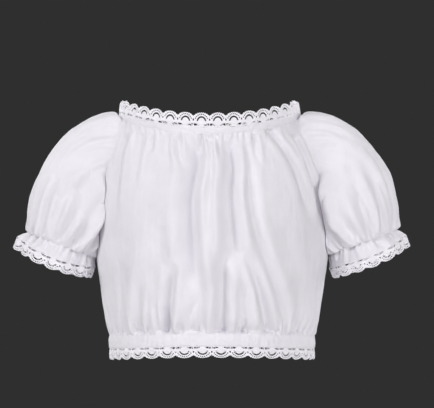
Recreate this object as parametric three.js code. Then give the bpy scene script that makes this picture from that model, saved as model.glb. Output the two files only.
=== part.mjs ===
// A white dirndl blouse, filled out as it is when worn: an elastic neckline that sits on the shoulders, two
// puffed raglan sleeves with elastic cuffs, a body gathered into an elastic band under the bust, and a
// scalloped lace edging at the neck, the hem and both cuffs.
// Millimetres, +Z up. The front faces -Y and the wearer's left is +X. The origin is the middle of the neck
// opening, at the height at which the neckline rests on the shoulders.
import * as THREE from "three";

// Walls, and the gap between two pieces at a seam.
const CLOTH_WALL = 1.2;
const BAND_WALL = 1.8;
const LACE_WALL = 1.0;
const SEAM_GAP = 0.3;

// The same gap measured between the middles of two walls that lean against each other at a seam.
const LEAN_GAP = 0.85;
const EDGE_GAP = 1.3;

// The neck casing: an ellipse, deeper at the front, whose middle lies shift to the wearer's right. Its upper edge
// is highest on the shoulders and dips as |x / halfWidth| ** dipPower.
const NECK = {
  halfWidth: 127, front: 105, back: 95, shift: -3, sideTop: 0, centreTop: -24.3, casing: 8, dipPower: 2.3, crown: 0.6,
};

// The elastic band under the bust. Its edges are dip lower at the sides.
const HEM = { halfWidth: 142.5, front: 106, back: 99, top: -302.8, dip: 5.8, height: 17.2, crown: 1.2 };

// The body from neck to hem. edge is the height of a row at its ends, halfWidth, front and back are the size of
// the ellipse there, seam is how far out the panel ends, at the raglan seam and below the armpit at the side, and
// shift moves the row sideways.
const BODY = [
  { edge: -9, halfWidth: 127, front: 105, back: 95, seam: 119, shift: -3 },
  { edge: -28, halfWidth: 138, front: 109, back: 100, seam: 124, shift: -2 },
  { edge: -45, halfWidth: 147, front: 113, back: 104, seam: 130.5, shift: -1 },
  { edge: -69, halfWidth: 156, front: 118, back: 109, seam: 139.5, shift: 0 },
  { edge: -88, halfWidth: 160, front: 122, back: 112, seam: 147.5, shift: 0 },
  { edge: -119, halfWidth: 161.5, front: 127, back: 115, seam: 155, shift: 0 },
  { edge: -145, halfWidth: 161.5, front: 129.5, back: 116, seam: 159, shift: 0 },
  { edge: -168, halfWidth: 161, front: 130, back: 116, seam: 161, shift: 0 },
  { edge: -200, halfWidth: 161, front: 128.5, back: 114, seam: 161, shift: 0 },
  { edge: -233, halfWidth: 156.5, front: 124.5, back: 110.5, seam: 156.5, shift: 0 },
  { edge: -267, halfWidth: 151.5, front: 119, back: 107, seam: 151.5, shift: 0 },
  { edge: -290, halfWidth: 148, front: 114, back: 104, seam: 148, shift: 0 },
  { edge: -309, halfWidth: 142.5, front: 106, back: 99, seam: 142.5, shift: 0 },
];
const ARMPIT_HEIGHT = -168;

// The main folds. Each trough runs down through three points at even steps of height, is deep at its middle
// and fades at its ends. A negative depth is a ridge.
const FRONT_FOLDS = [
  { zTop: -38, zEnd: -252, xTop: -25, xMid: -33, xEnd: -31, depth: 6, half: 9 },
  { zTop: -38, zEnd: -220, xTop: 24, xMid: 25, xEnd: 37, depth: 6, half: 8 },
  { zTop: -38, zEnd: -296, xTop: 46, xMid: 58, xEnd: 95, depth: 4, half: 8 },
  { zTop: -186, zEnd: -306, xTop: 11, xMid: 13, xEnd: 11, depth: 7, half: 8 },
  { zTop: -190, zEnd: -304, xTop: 40, xMid: 60, xEnd: 72, depth: 4.5, half: 8 },
  { zTop: -40, zEnd: -170, xTop: 0, xMid: 0, xEnd: -6, depth: 3, half: 7 },
  { zTop: -24, zEnd: -150, xTop: -113, xMid: -128, xEnd: -138, depth: 4, half: 8 },
  { zTop: -26, zEnd: -152, xTop: 84, xMid: 122, xEnd: 136, depth: 5, half: 8 },
  { zTop: -206, zEnd: -300, xTop: -52, xMid: -60, xEnd: -65, depth: 4.5, half: 8 },
  { zTop: -240, zEnd: -306, xTop: -9, xMid: -14, xEnd: -18, depth: 5, half: 8 },
  { zTop: -240, zEnd: -306, xTop: 39, xMid: 42, xEnd: 44, depth: 4, half: 8 },
  { zTop: -60, zEnd: -240, xTop: -2, xMid: 2, xEnd: 9, depth: -3, half: 9 },
];
const BACK_FOLDS = [
  { zTop: -38, zEnd: -230, xTop: -40, xMid: -44, xEnd: -52, depth: 5, half: 10 },
  { zTop: -38, zEnd: -262, xTop: 8, xMid: 6, xEnd: 14, depth: 5.5, half: 10 },
  { zTop: -38, zEnd: -210, xTop: 52, xMid: 55, xEnd: 68, depth: 4.5, half: 10 },
  { zTop: -190, zEnd: -306, xTop: -16, xMid: -20, xEnd: -18, depth: 6, half: 9 },
  { zTop: -200, zEnd: -306, xTop: 44, xMid: 47, xEnd: 44, depth: 5, half: 9 },
  { zTop: -215, zEnd: -306, xTop: -76, xMid: -80, xEnd: -78, depth: 4, half: 9 },
  { zTop: -26, zEnd: -150, xTop: -88, xMid: -112, xEnd: -128, depth: 4, half: 9 },
  { zTop: -26, zEnd: -160, xTop: 92, xMid: 114, xEnd: 130, depth: 4, half: 9 },
];

// Gathers: the height of a wave at the gathered edge, and how fast it dies away from the neck, the hem and the cuff.
const GATHER = { neck: 1.5, neckReach: 24, hem: 1.5, hemReach: 20, cuff: 2.0, cuffReach: 0.16, edgeFade: 0.12 };

// How many mesh steps each piece has.
const FRONT_COLUMNS = 48;
const BACK_COLUMNS = 36;
const RAGLAN_ROWS = 8;
const LOWER_ROWS = 6;
const SLEEVE_ROWS = 9;
const NECK_ARC_STEPS = 4;
const SEAM_STEPS = 2;
const CASING_STEPS = 54;
const BAND_STEPS = 48;
const CUFF_STEPS = 32;

// The sleeve hangs at this angle from the vertical, and its cuff ring is centred here. across is the cuff's
// half size in the plane of the arm, and deep its half size front to back. The frill's length and the angle at
// which it stands out are given for the outer side, the front and back, and the inner side of the arm.
const ARM_LEAN = THREE.MathUtils.degToRad(20.5);
const CUFF = {
  right: { x: 210.1, z: -182, across: 50.3, deep: 45 },
  left: { x: 210.7, z: -177.5, across: 50, deep: 45 },
};
const RUFFLE = 2.0;
const FRILL = {
  right: {
    outer: { length: 11, flare: 44 },
    middle: { length: 20, flare: 22 },
    inner: { length: 13, flare: 15 },
  },
  left: {
    outer: { length: 12, flare: 40 },
    middle: { length: 21.5, flare: 22 },
    inner: { length: 18, flare: 15 },
  },
};

// The puff of each sleeve. reach is how far the cloth runs out from the seam before it turns, and rise how far it
// climbs in that length. hang is how far it comes down straight above the cuff, and swell how far it stands out
// there. Each has a value for the inner side of the arm and one for the outer side. turn is the angle between the
// cloth and the line that leads out of the panel, least and where it is greatest, in the upper front and back, and
// shoulder is the height of the crest beside the neck casing.
const PUFF = {
  right: { reach: [9, 65], rise: [0, 15], hang: [9, 92], swell: [0, 37], turn: [0.35, 0.9], shoulder: 4 },
  left: { reach: [9, 70], rise: [0, 23], hang: [9, 88], swell: [0, 41], turn: [0.35, 0.9], shoulder: 4 },
};
const SHOULDER_CREST = 0.04;

// The cloth that hangs forward and inward over the seam beside the body, round this place of the arm, and the
// least gap between its middle and the body's plain surface.
const BULGE = { turn: 140, half: 48, forward: 22, inward: 9 };
const BODY_GAP = 3.2;
const BODY_GAP_START = 0.03;
const ROW_CROWDING = 1.3;

// Folds of a sleeve: turn is the angle round the arm from its outer side towards the front, in degrees, at the
// fold's upper and lower end, and from and to are its ends along the sleeve, from 0 at the seam to 1 at the cuff.
const SLEEVE_FOLDS = {
  right: [
    { turnTop: 132, turnEnd: 112, from: 0.25, to: 1, depth: 9, half: 11 },
    { turnTop: 82, turnEnd: 74, from: 0.5, to: 1, depth: 5, half: 10 },
    { turnTop: 48, turnEnd: 52, from: 0.55, to: 1, depth: 4, half: 9 },
    { turnTop: 25, turnEnd: 28, from: 0.45, to: 1, depth: 3, half: 9 },
    { turnTop: 64, turnEnd: 58, from: 0.0, to: 0.55, depth: 3, half: 9 },
    { turnTop: 236, turnEnd: 250, from: 0.35, to: 1, depth: 6, half: 12 },
    { turnTop: 292, turnEnd: 300, from: 0.4, to: 1, depth: 5, half: 11 },
    { turnTop: 332, turnEnd: 330, from: 0.5, to: 1, depth: 3, half: 9 },
  ],
  left: [
    { turnTop: 128, turnEnd: 116, from: 0.4, to: 1, depth: 9, half: 12 },
    { turnTop: 90, turnEnd: 88, from: 0.45, to: 1, depth: 5, half: 11 },
    { turnTop: 62, turnEnd: 66, from: 0.5, to: 1, depth: 5, half: 9 },
    { turnTop: 36, turnEnd: 40, from: 0.42, to: 1, depth: 3.5, half: 9 },
    { turnTop: 30, turnEnd: 22, from: 0.0, to: 0.45, depth: 3, half: 9 },
    { turnTop: 230, turnEnd: 244, from: 0.38, to: 1, depth: 6, half: 12 },
    { turnTop: 276, turnEnd: 280, from: 0.45, to: 1, depth: 5, half: 11 },
    { turnTop: 318, turnEnd: 322, from: 0.5, to: 1, depth: 4, half: 9 },
  ],
};

// The lace edging. Each repeat is one scallop: a foot strip, a three-cornered gap over the seam between two
// scallops, and an arched gap round the tongue in the middle. drop is the width of lace that shows at each edge.
const LACE = { width: 19, pitch: 24, footStrip: 2.2, notch: 12.6, gapHalf: 5.4, gapTop: 4.8 };
const DROP = { neck: 20, hem: 16.5, cuff: 17 };
const SCALLOPS = { neck: 36, hem: 36, cuff: 16 };
const LACE_WAVE = 0.8;
const ARCH = { centre: 7, outer: 7.2, inner: 4.9, outerDegrees: [190, 130, 50, -10], innerDegrees: [5, 90, 175] };
const SCALLOP_STEPS = 4;

const COLOURS = { cloth: 0xefeef2, lace: 0xf4f3f5, band: 0xf1f0f4 };

// Value of a column of a table at a place on its first key, on a smooth curve through the rows.
function sample(table, key, column, at) {
  let i = 0;
  while (i < table.length - 2 && (table[i + 1][key] - at) * Math.sign(table[1][key] - table[0][key]) < 0) i++;
  const x0 = table[i][key];
  const x1 = table[i + 1][key];
  const t = THREE.MathUtils.clamp((at - x0) / (x1 - x0), 0, 1);
  const slope = (j) => {
    const a = table[Math.max(j - 1, 0)];
    const b = table[Math.min(j + 1, table.length - 1)];
    return (b[column] - a[column]) / (b[key] - a[key]);
  };
  const h = x1 - x0;
  const [p0, p1] = [table[i][column], table[i + 1][column]];
  const [m0, m1] = [slope(i) * h, slope(i + 1) * h];
  const [t2, t3] = [t * t, t * t * t];
  return (2 * t3 - 3 * t2 + 1) * p0 + (t3 - 2 * t2 + t) * m0 + (3 * t2 - 2 * t3) * p1 + (t3 - t2) * m1;
}

// The point of an ellipse at an angle from its front towards the wearer's right, with its outward direction.
function ellipsePoint({ halfWidth, front, back }, angle) {
  const [sin, cos] = [Math.sin(angle), Math.cos(angle)];
  const depth = cos > 0 ? front : back;
  const out = new THREE.Vector3(-sin / halfWidth, -cos / depth, 0).normalize();
  return { point: new THREE.Vector3(-halfWidth * sin, -depth * cos, 0), out };
}

// count + 1 angles from -end to end, at even steps along an ellipse.
function evenAngles(ring, end, count) {
  const fine = 400;
  const angles = Array.from({ length: fine + 1 }, (_, i) => end * ((2 * i) / fine - 1));
  const length = [0];
  for (let i = 1; i <= fine; i++) {
    const step = ellipsePoint(ring, angles[i]).point.distanceTo(ellipsePoint(ring, angles[i - 1]).point);
    length.push(length[i - 1] + step);
  }
  let i = 0;
  return Array.from({ length: count + 1 }, (_, k) => {
    const want = (length[fine] * k) / count;
    while (i < fine - 1 && length[i + 1] < want) i++;
    return THREE.MathUtils.mapLinear(want, length[i], length[i + 1], angles[i], angles[i + 1]);
  });
}

// The height of the neck casing's upper edge, and of the band's upper edge, at x.
function neckTop(x) {
  const share = Math.abs((x - NECK.shift) / NECK.halfWidth);
  return NECK.centreTop + (NECK.sideTop - NECK.centreTop) * share ** NECK.dipPower;
}

function hemTop(x) {
  return HEM.top - HEM.dip * (x / HEM.halfWidth) ** 2;
}

// A soft rise and fall, 1 in the middle of 0 to 1 and 0 at its ends.
function fade(t) {
  return t <= 0 || t >= 1 ? 0 : Math.sin(Math.PI * t) ** 0.6;
}

// How far the folds of a table push the cloth in at (x, z).
function foldDepth(folds, x, z) {
  return folds.reduce((sum, f) => {
    const t = (f.zTop - z) / (f.zTop - f.zEnd);
    if (t < 0 || t > 1) return sum;
    const path = f.xTop * (1 - t) * (1 - 2 * t) + f.xMid * 4 * t * (1 - t) + f.xEnd * t * (2 * t - 1);
    return sum + f.depth * fade(t) * Math.exp(-(((x - path) / f.half) ** 2));
  }, 0);
}

// A closed solid from a grid of points: rows of columns, thickened along the grid's own normals.
function clothWall(rows, wall, closedRound) {
  const columns = rows[0].length;
  const last = closedRound ? columns : columns - 1;
  const at = (r, c) => rows[r][closedRound ? (c + columns) % columns : THREE.MathUtils.clamp(c, 0, columns - 1)];
  const positions = [];
  const push = (p, n, side) => positions.push(...p.clone().addScaledVector(n, (side * wall) / 2).toArray());
  const normals = rows.map((row, r) => row.map((_, c) => {
    const along = at(r, c + 1).clone().sub(at(r, c - 1));
    const down = at(Math.min(r + 1, rows.length - 1), c).clone().sub(at(Math.max(r - 1, 0), c));
    return along.cross(down).normalize();
  }));
  for (const side of [1, -1]) rows.forEach((row, r) => row.forEach((p, c) => push(p, normals[r][c], side)));
  const index = [];
  const layer = rows.length * columns;
  const id = (r, c, side) => (side > 0 ? 0 : layer) + r * columns + (c % columns);
  const quad = (a, b, c, d) => index.push(a, b, c, a, c, d);
  for (let r = 0; r < rows.length - 1; r++) {
    for (let c = 0; c < last; c++) {
      quad(id(r, c, 1), id(r, c + 1, 1), id(r + 1, c + 1, 1), id(r + 1, c, 1));
      quad(id(r, c, -1), id(r + 1, c, -1), id(r + 1, c + 1, -1), id(r, c + 1, -1));
    }
  }
  const bottom = rows.length - 1;
  for (let c = 0; c < last; c++) {
    quad(id(0, c, 1), id(0, c, -1), id(0, c + 1, -1), id(0, c + 1, 1));
    quad(id(bottom, c, -1), id(bottom, c, 1), id(bottom, c + 1, 1), id(bottom, c + 1, -1));
  }
  if (!closedRound) {
    for (let r = 0; r < bottom; r++) {
      quad(id(r, 0, -1), id(r, 0, 1), id(r + 1, 0, 1), id(r + 1, 0, -1));
      quad(id(r, last, 1), id(r, last, -1), id(r + 1, last, -1), id(r + 1, last, 1));
    }
  }
  return indexed(positions, index);
}

function indexed(positions, index) {
  const geometry = new THREE.BufferGeometry();
  geometry.setAttribute("position", new THREE.Float32BufferAttribute(positions, 3));
  geometry.setIndex(index);
  geometry.computeVertexNormals();
  return geometry;
}

function piece(name, geometry, colour, roughness) {
  const material = new THREE.MeshStandardMaterial({ color: colour, roughness, metalness: 0 });
  const mesh = new THREE.Mesh(geometry, material);
  mesh.name = name;
  return mesh;
}

// The rows of the front or back panel, each from the wearer's left to the right. side is -1 for the front and 1
// for the back.
function panelRows(side, columns) {
  const folds = side < 0 ? FRONT_FOLDS : BACK_FOLDS;
  const edgeTop = neckTop(BODY[0].seam + NECK.shift) - NECK.casing - LEAN_GAP;
  const centreTop = NECK.centreTop - NECK.casing - LEAN_GAP;
  const bottom = hemTop(HEM.halfWidth) + LEAN_GAP;
  const centreBottom = hemTop(0) + LEAN_GAP;
  const armpitShare = (edgeTop - ARMPIT_HEIGHT) / (edgeTop - bottom);
  const rows = [];
  for (let r = 0; r <= RAGLAN_ROWS + LOWER_ROWS; r++) {
    const lower = (r - RAGLAN_ROWS) / LOWER_ROWS;
    const share = r <= RAGLAN_ROWS ? (armpitShare * r) / RAGLAN_ROWS : armpitShare + (1 - armpitShare) * lower ** 0.85;
    const edge = THREE.MathUtils.lerp(edgeTop, bottom, share);
    const centre = THREE.MathUtils.lerp(centreTop, centreBottom, share);
    const dip = THREE.MathUtils.lerp(NECK.dipPower, 2, share);
    const at = (column) => sample(BODY, "edge", column, edge);
    const depth = at(side < 0 ? "front" : "back");
    const ring = { halfWidth: at("halfWidth"), front: depth, back: depth };
    const seam = r < RAGLAN_ROWS ? at("seam") : ring.halfWidth;
    const shift = at("shift");
    const gather = GATHER.neck * Math.exp(-(((centreTop - centre) / GATHER.neckReach) ** 2))
      + GATHER.hem * Math.exp(-(((centre - centreBottom) / GATHER.hemReach) ** 2));
    const end = Math.asin(Math.min(seam / ring.halfWidth, 1));
    rows.push(evenAngles(ring, end, columns).map((angle, c) => {
      const { point, out } = ellipsePoint(ring, angle);
      const height = centre + (edge - centre) * Math.abs(point.x / seam) ** dip;
      const inward = Math.min(1, Math.min(c, columns - c) / columns / GATHER.edgeFade);
      const wave = c % 2 ? 1 : -1;
      point.addScaledVector(out, inward * (wave * gather - foldDepth(folds, point.x, height)));
      point.y = side * Math.max(-point.y, SEAM_GAP * 0.7);
      return point.setX(point.x + shift).setZ(height);
    }));
  }
  return rows;
}

// The same rows seen in a mirror, for the other sleeve.
function mirrored(rows) {
  return rows.map((row) => row.map((p) => new THREE.Vector3(-p.x, p.y, p.z)).reverse());
}

// The armhole of the sleeve on the wearer's right, from the shoulder round by the front: the neck arc, the front
// raglan seam, the armpit and the back raglan seam. Each place has its point, clear of the panel's edge, the
// direction out of the panel and the direction in which the panel would go on.
function armhole(frontRows, backRows, shift) {
  const seam = (rows) => {
    const places = [];
    const last = rows[0].length - 1;
    for (let r = 0; r < RAGLAN_ROWS; r++) {
      for (let s = 0; s < SEAM_STEPS; s++) {
        const t = s / SEAM_STEPS;
        const share = (r + t) / RAGLAN_ROWS;
        const edge = rows[r][last].clone().lerp(rows[r + 1][last], t);
        const inner = rows[r][last - 1].clone().lerp(rows[r + 1][last - 1], t);
        const on = edge.clone().sub(inner).setZ(0).normalize();
        const out = new THREE.Vector3(-Math.abs(on.y), Math.sign(edge.y) * Math.abs(on.x), 0);
        const ends = THREE.MathUtils.clamp(Math.max(1 - share / 0.15, (share - 0.3) / 0.25), 0, 1);
        const stand = THREE.MathUtils.lerp(0.5, 2.0, ends);
        const point = edge.addScaledVector(on, LEAN_GAP).addScaledVector(out, stand);
        places.push({ point, out, on });
      }
    }
    return places;
  };
  const front = seam(frontRows);
  const back = seam(backRows);
  const out = new THREE.Vector3(-1, 0, 0);
  const on = new THREE.Vector3();
  const armpitOut = BODY.find((row) => row.edge === ARMPIT_HEIGHT).seam + 1.8;
  const armpit = { point: new THREE.Vector3(-armpitOut, 0, ARMPIT_HEIGHT), out, on };
  const arc = [];
  for (let k = 1 - NECK_ARC_STEPS / 2; k < NECK_ARC_STEPS / 2; k++) {
    const share = (2 * k) / NECK_ARC_STEPS;
    const side = share > 0 ? front[0].point : back[0].point;
    const y = side.y * Math.abs(share);
    const x = -THREE.MathUtils.lerp(NECK.halfWidth - shift + EDGE_GAP + 1.2, -side.x, share * share);
    arc.push({ point: new THREE.Vector3(x, y, NECK.sideTop - NECK.casing * 0.6), out, on });
  }
  const middle = NECK_ARC_STEPS / 2 - 1;
  return [...arc.slice(middle), ...front, armpit, ...back.reverse(), ...arc.slice(0, middle)];
}

// A value that turns from its outer to its middle to its inner entry with the angle round the arm.
function frillValue(side, column, angle) {
  const cos = Math.cos(angle);
  const end = cos > 0 ? FRILL[side].outer[column] : FRILL[side].inner[column];
  return THREE.MathUtils.lerp(FRILL[side].middle[column], end, cos * cos);
}

// A side's cuff ring, mirrored to the wearer's right, at an angle round the arm from its outer side to the front,
// and at a distance below the elastic. Lace hangs straight below the flaring frill.
function cuffPoint(side, angle, below, out) {
  const cuff = CUFF[side];
  const axis = new THREE.Vector3(-Math.sin(ARM_LEAN), 0, -Math.cos(ARM_LEAN));
  const outer = new THREE.Vector3(-Math.cos(ARM_LEAN), 0, Math.sin(ARM_LEAN));
  const slope = Math.tan(THREE.MathUtils.degToRad(frillValue(side, "flare", angle)));
  const flare = slope * THREE.MathUtils.clamp(below, 0, frillValue(side, "length", angle)) + out;
  return new THREE.Vector3(-cuff.x, 0, cuff.z)
    .addScaledVector(axis, below)
    .addScaledVector(outer, Math.cos(angle) * (cuff.across + flare))
    .add(new THREE.Vector3(0, -Math.sin(angle) * (cuff.deep + flare), 0));
}

// A place moved out to a gap from the body's plain surface where it is nearer to it.
function clearOfBody(point, mirror, gap) {
  const height = THREE.MathUtils.clamp(point.z, BODY[BODY.length - 1].edge, BODY[0].edge);
  const at = (column) => sample(BODY, "edge", column, height);
  const halfWidth = at("halfWidth");
  const depth = at(point.y < 0 ? "front" : "back");
  const flat = new THREE.Vector2((point.x - at("shift") * mirror) / halfWidth, point.y / depth);
  const steep = new THREE.Vector3(flat.x / halfWidth, flat.y / depth, 0);
  const off = ((flat.length() - 1) * flat.length()) / steep.length();
  return off < gap ? point.addScaledVector(steep.normalize(), gap - off) : point;
}

// The rows of a side's sleeve, mirrored to the wearer's right, from the armhole to the cuff.
function sleeveRows(loop, side, mirror) {
  const puff = PUFF[side];
  const folds = SLEEVE_FOLDS[side];
  const count = loop.length;
  const axis = new THREE.Vector3(-Math.sin(ARM_LEAN), 0, -Math.cos(ARM_LEAN));
  const shares = Array.from({ length: SLEEVE_ROWS + 1 }, (_, r) => (r / SLEEVE_ROWS) ** ROW_CROWDING);
  const rows = shares.map((v) => loop.map(({ point: start, out, on }, k) => {
    const angle = (2 * Math.PI * k) / count;
    const outer = (1 + Math.cos(angle)) / 2;
    const value = ([inside, outside], power) => THREE.MathUtils.lerp(inside, outside, outer ** power);
    const reach = value(puff.reach, 1);
    const degrees = THREE.MathUtils.radToDeg(angle);
    const offOuter = 180 - Math.abs(degrees - 180);
    const turn = THREE.MathUtils.lerp(puff.turn[0], puff.turn[1], Math.exp(-(((offOuter - 62) / 36) ** 2)));
    const leave = new THREE.Vector3(0, 0, value(puff.rise, 1.5))
      .addScaledVector(out, reach * Math.cos(turn))
      .addScaledVector(on, reach * Math.sin(turn));
    const end = cuffPoint(side, angle, -EDGE_GAP, 0);
    const arrive = cuffPoint(side, angle, -EDGE_GAP, value(puff.swell, 0.55)).sub(end)
      .addScaledVector(axis, -value(puff.hang, 0.85));
    const controls = [start, start.clone().add(leave), end.clone().add(arrive), end];
    const weights = [(1 - v) ** 3, 3 * v * (1 - v) ** 2, 3 * v * v * (1 - v), v ** 3];
    const crest = puff.shoulder * outer ** 6 * (v / SHOULDER_CREST) * Math.exp(1 - v / SHOULDER_CREST);
    const bulge = THREE.MathUtils.smoothstep(1.5 - (1.5 * Math.abs(degrees - BULGE.turn)) / BULGE.half, 0, 1);
    const forward = BULGE.forward * bulge * (1 - v) ** 2 * (1 - Math.exp(-v / 0.07));
    const inward = BULGE.inward * bulge * Math.max(Math.sin(Math.PI * v), 0) ** 1.5;
    const moved = new THREE.Vector3(inward, -forward, crest);
    return controls.reduce((sum, p, i) => sum.addScaledVector(p, weights[i]), moved);
  }));
  return rows.map((row, r) => row.map((p, k) => {
    const v = shares[r];
    const along = row[(k + 1) % count].clone().sub(row[(k + count - 1) % count]);
    const down = rows[Math.min(r + 1, SLEEVE_ROWS)][k].clone().sub(rows[Math.max(r - 1, 0)][k]);
    const normal = along.cross(down).normalize();
    const turn = (360 * k) / count;
    const wave = (k % 2 ? 1 : -1) * GATHER.cuff * Math.exp(-(((1 - v) / GATHER.cuffReach) ** 2));
    const deep = folds.reduce((sum, f) => {
      const t = (v - f.from) / (f.to - f.from);
      if (t < 0 || t > 1) return sum;
      const off = turn - THREE.MathUtils.lerp(f.turnTop, f.turnEnd, t);
      return sum + f.depth * Math.sin(Math.PI * t) * Math.exp(-((off / f.half) ** 2));
    }, 0);
    const gap = BODY_GAP * Math.min(v / BODY_GAP_START, 1);
    return clearOfBody(p.clone().addScaledVector(normal, wave - deep), mirror, gap);
  }));
}

// The cuff: the elastic line and the frill that flares below it, in ruffle waves.
function cuffRows(side) {
  return [0, 0.45, 1].map((share) => Array.from({ length: CUFF_STEPS }, (_, k) => {
    const angle = (2 * Math.PI * k) / CUFF_STEPS;
    return cuffPoint(side, angle, frillValue(side, "length", angle) * share, cuffRuffle(angle) * share);
  }));
}

// Rows round a sleeve, seen in a mirror.
function mirroredRing(rows) {
  return rows.map((row) => row.map((p) => new THREE.Vector3(-p.x, p.y, p.z)));
}

// One ruffle wave to every two scallops.
function cuffRuffle(angle) {
  return RUFFLE * Math.sin((angle * SCALLOPS.cuff) / 2);
}

// One repeat of lace: its outline and its arched gap, as [share along, height]. Half a three-cornered gap
// opens at each end, unless the strip ends there.
function laceRepeat(openStart, openEnd) {
  const half = LACE.pitch / 2;
  const share = (s) => s / LACE.pitch + 0.5;
  const gap = (side) => [[share(side * half), LACE.footStrip], [share(side * (half - LACE.gapHalf)), LACE.footStrip],
    [share(side * half), LACE.gapTop]];
  const outline = [[0, 0], [1, 0]];
  if (openEnd) outline.push(...gap(1));
  for (let i = 0; i <= SCALLOP_STEPS; i++) {
    const t = 1 - (2 * i) / SCALLOP_STEPS;
    outline.push([share(t * half), LACE.notch + (LACE.width - LACE.notch) * (1 - t * t) ** 0.7]);
  }
  if (openStart) outline.push(...gap(-1).reverse());
  const onArc = (radius) => (degrees) => {
    const a = THREE.MathUtils.degToRad(degrees);
    return [share(radius * Math.cos(a)), ARCH.centre + radius * Math.sin(a)];
  };
  const arch = [...ARCH.outerDegrees.map(onArc(ARCH.outer)), ...ARCH.innerDegrees.map(onArc(ARCH.inner))];
  return { outline, arch };
}

// A strip of lace of several repeats. place(share, height) gives a point and a normal, where share counts repeats.
function laceStrip(repeats, place) {
  const positions = [];
  const index = [];
  const known = new Map();
  const inset = SEAM_GAP / LACE.pitch;
  const vertex = (share, height, side) => {
    const key = `${share.toFixed(4)} ${height.toFixed(3)} ${side}`;
    if (!known.has(key)) {
      const { point, normal } = place(THREE.MathUtils.clamp(share, inset, repeats - inset), height);
      known.set(key, positions.length / 3);
      positions.push(...point.addScaledVector(normal, (side * LACE_WALL) / 2).toArray());
    }
    return known.get(key);
  };
  for (let i = 0; i < repeats; i++) {
    const { outline, arch } = laceRepeat(i > 0, i < repeats - 1);
    const flat = ([s, h]) => new THREE.Vector2(s * LACE.pitch, h);
    const contour = outline.map(flat);
    const hole = arch.map(flat);
    const all = [...outline, ...arch];
    for (const [a, b, c] of THREE.ShapeUtils.triangulateShape(contour, [hole])) {
      const outer = [a, b, c].map((k) => vertex(i + all[k][0], all[k][1], 1));
      const inner = [c, b, a].map((k) => vertex(i + all[k][0], all[k][1], -1));
      index.push(...outer, ...inner);
    }
    const rim = (points) => points.forEach(([s0, h0], k) => {
      const [s1, h1] = points[(k + 1) % points.length];
      const shared = (s0 === 0 && s1 === 0 && i > 0) || (s0 === 1 && s1 === 1 && i < repeats - 1);
      if (shared) return;
      const [a, b] = [vertex(i + s0, h0, 1), vertex(i + s1, h1, 1)];
      const [c, d] = [vertex(i + s0, h0, -1), vertex(i + s1, h1, -1)];
      index.push(a, c, d, a, d, b);
    });
    rim(outline);
    rim(arch);
  }
  return indexed(positions, index);
}

// Places a ring's scallops at even angles, the first repeat starting at the wearer's left. edge.base is the height of
// the foot at x, edge.up is 1 for lace that stands and -1 for lace that hangs, and edge.drop its width.
function ringLace(ring, scallops, first, edge) {
  return (share, height) => {
    const angle = Math.PI * ((2 * (first + share)) / scallops - 0.5);
    const { point, out } = ellipsePoint(ring, angle);
    const rise = height / LACE.width;
    point.x += edge.shift;
    point.z = edge.base(point.x) + edge.up * edge.drop * rise;
    point.addScaledVector(out, rise * (edge.lean + LACE_WAVE * Math.cos(2 * Math.PI * share)));
    return { point, normal: out.multiplyScalar(-edge.up) };
  };
}

// Places lace on the cuff's lower edge. The seams between the two halves of the ring lie half a scallop round.
function cuffLace(side, first, mirror) {
  const at = (angle, below) => {
    const point = cuffPoint(side, angle, frillValue(side, "length", angle) + below, cuffRuffle(angle));
    return point.setX(point.x * mirror);
  };
  return (share, height) => {
    const angle = (2 * Math.PI * (first + share + 0.5)) / SCALLOPS.cuff;
    const below = EDGE_GAP + (height * DROP.cuff) / LACE.width;
    const point = at(angle, below);
    const along = at(angle + 0.05, below).sub(at(angle - 0.05, below));
    return { point, normal: along.cross(at(angle, below + 1).sub(point)).normalize() };
  };
}

// The rows of a band that follows an ellipse, between two heights at x and bulging by crown in the middle.
function bandRows(ring, steps, shift, top, height) {
  return [0, 0.5, 1].map((share) => Array.from({ length: steps }, (_, k) => {
    const { point, out } = ellipsePoint(ring, (2 * Math.PI * k) / steps);
    point.addScaledVector(out, ring.crown * Math.sin(Math.PI * share)).setX(point.x + shift);
    return point.setZ(top(point.x) - height * share);
  }));
}

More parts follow.
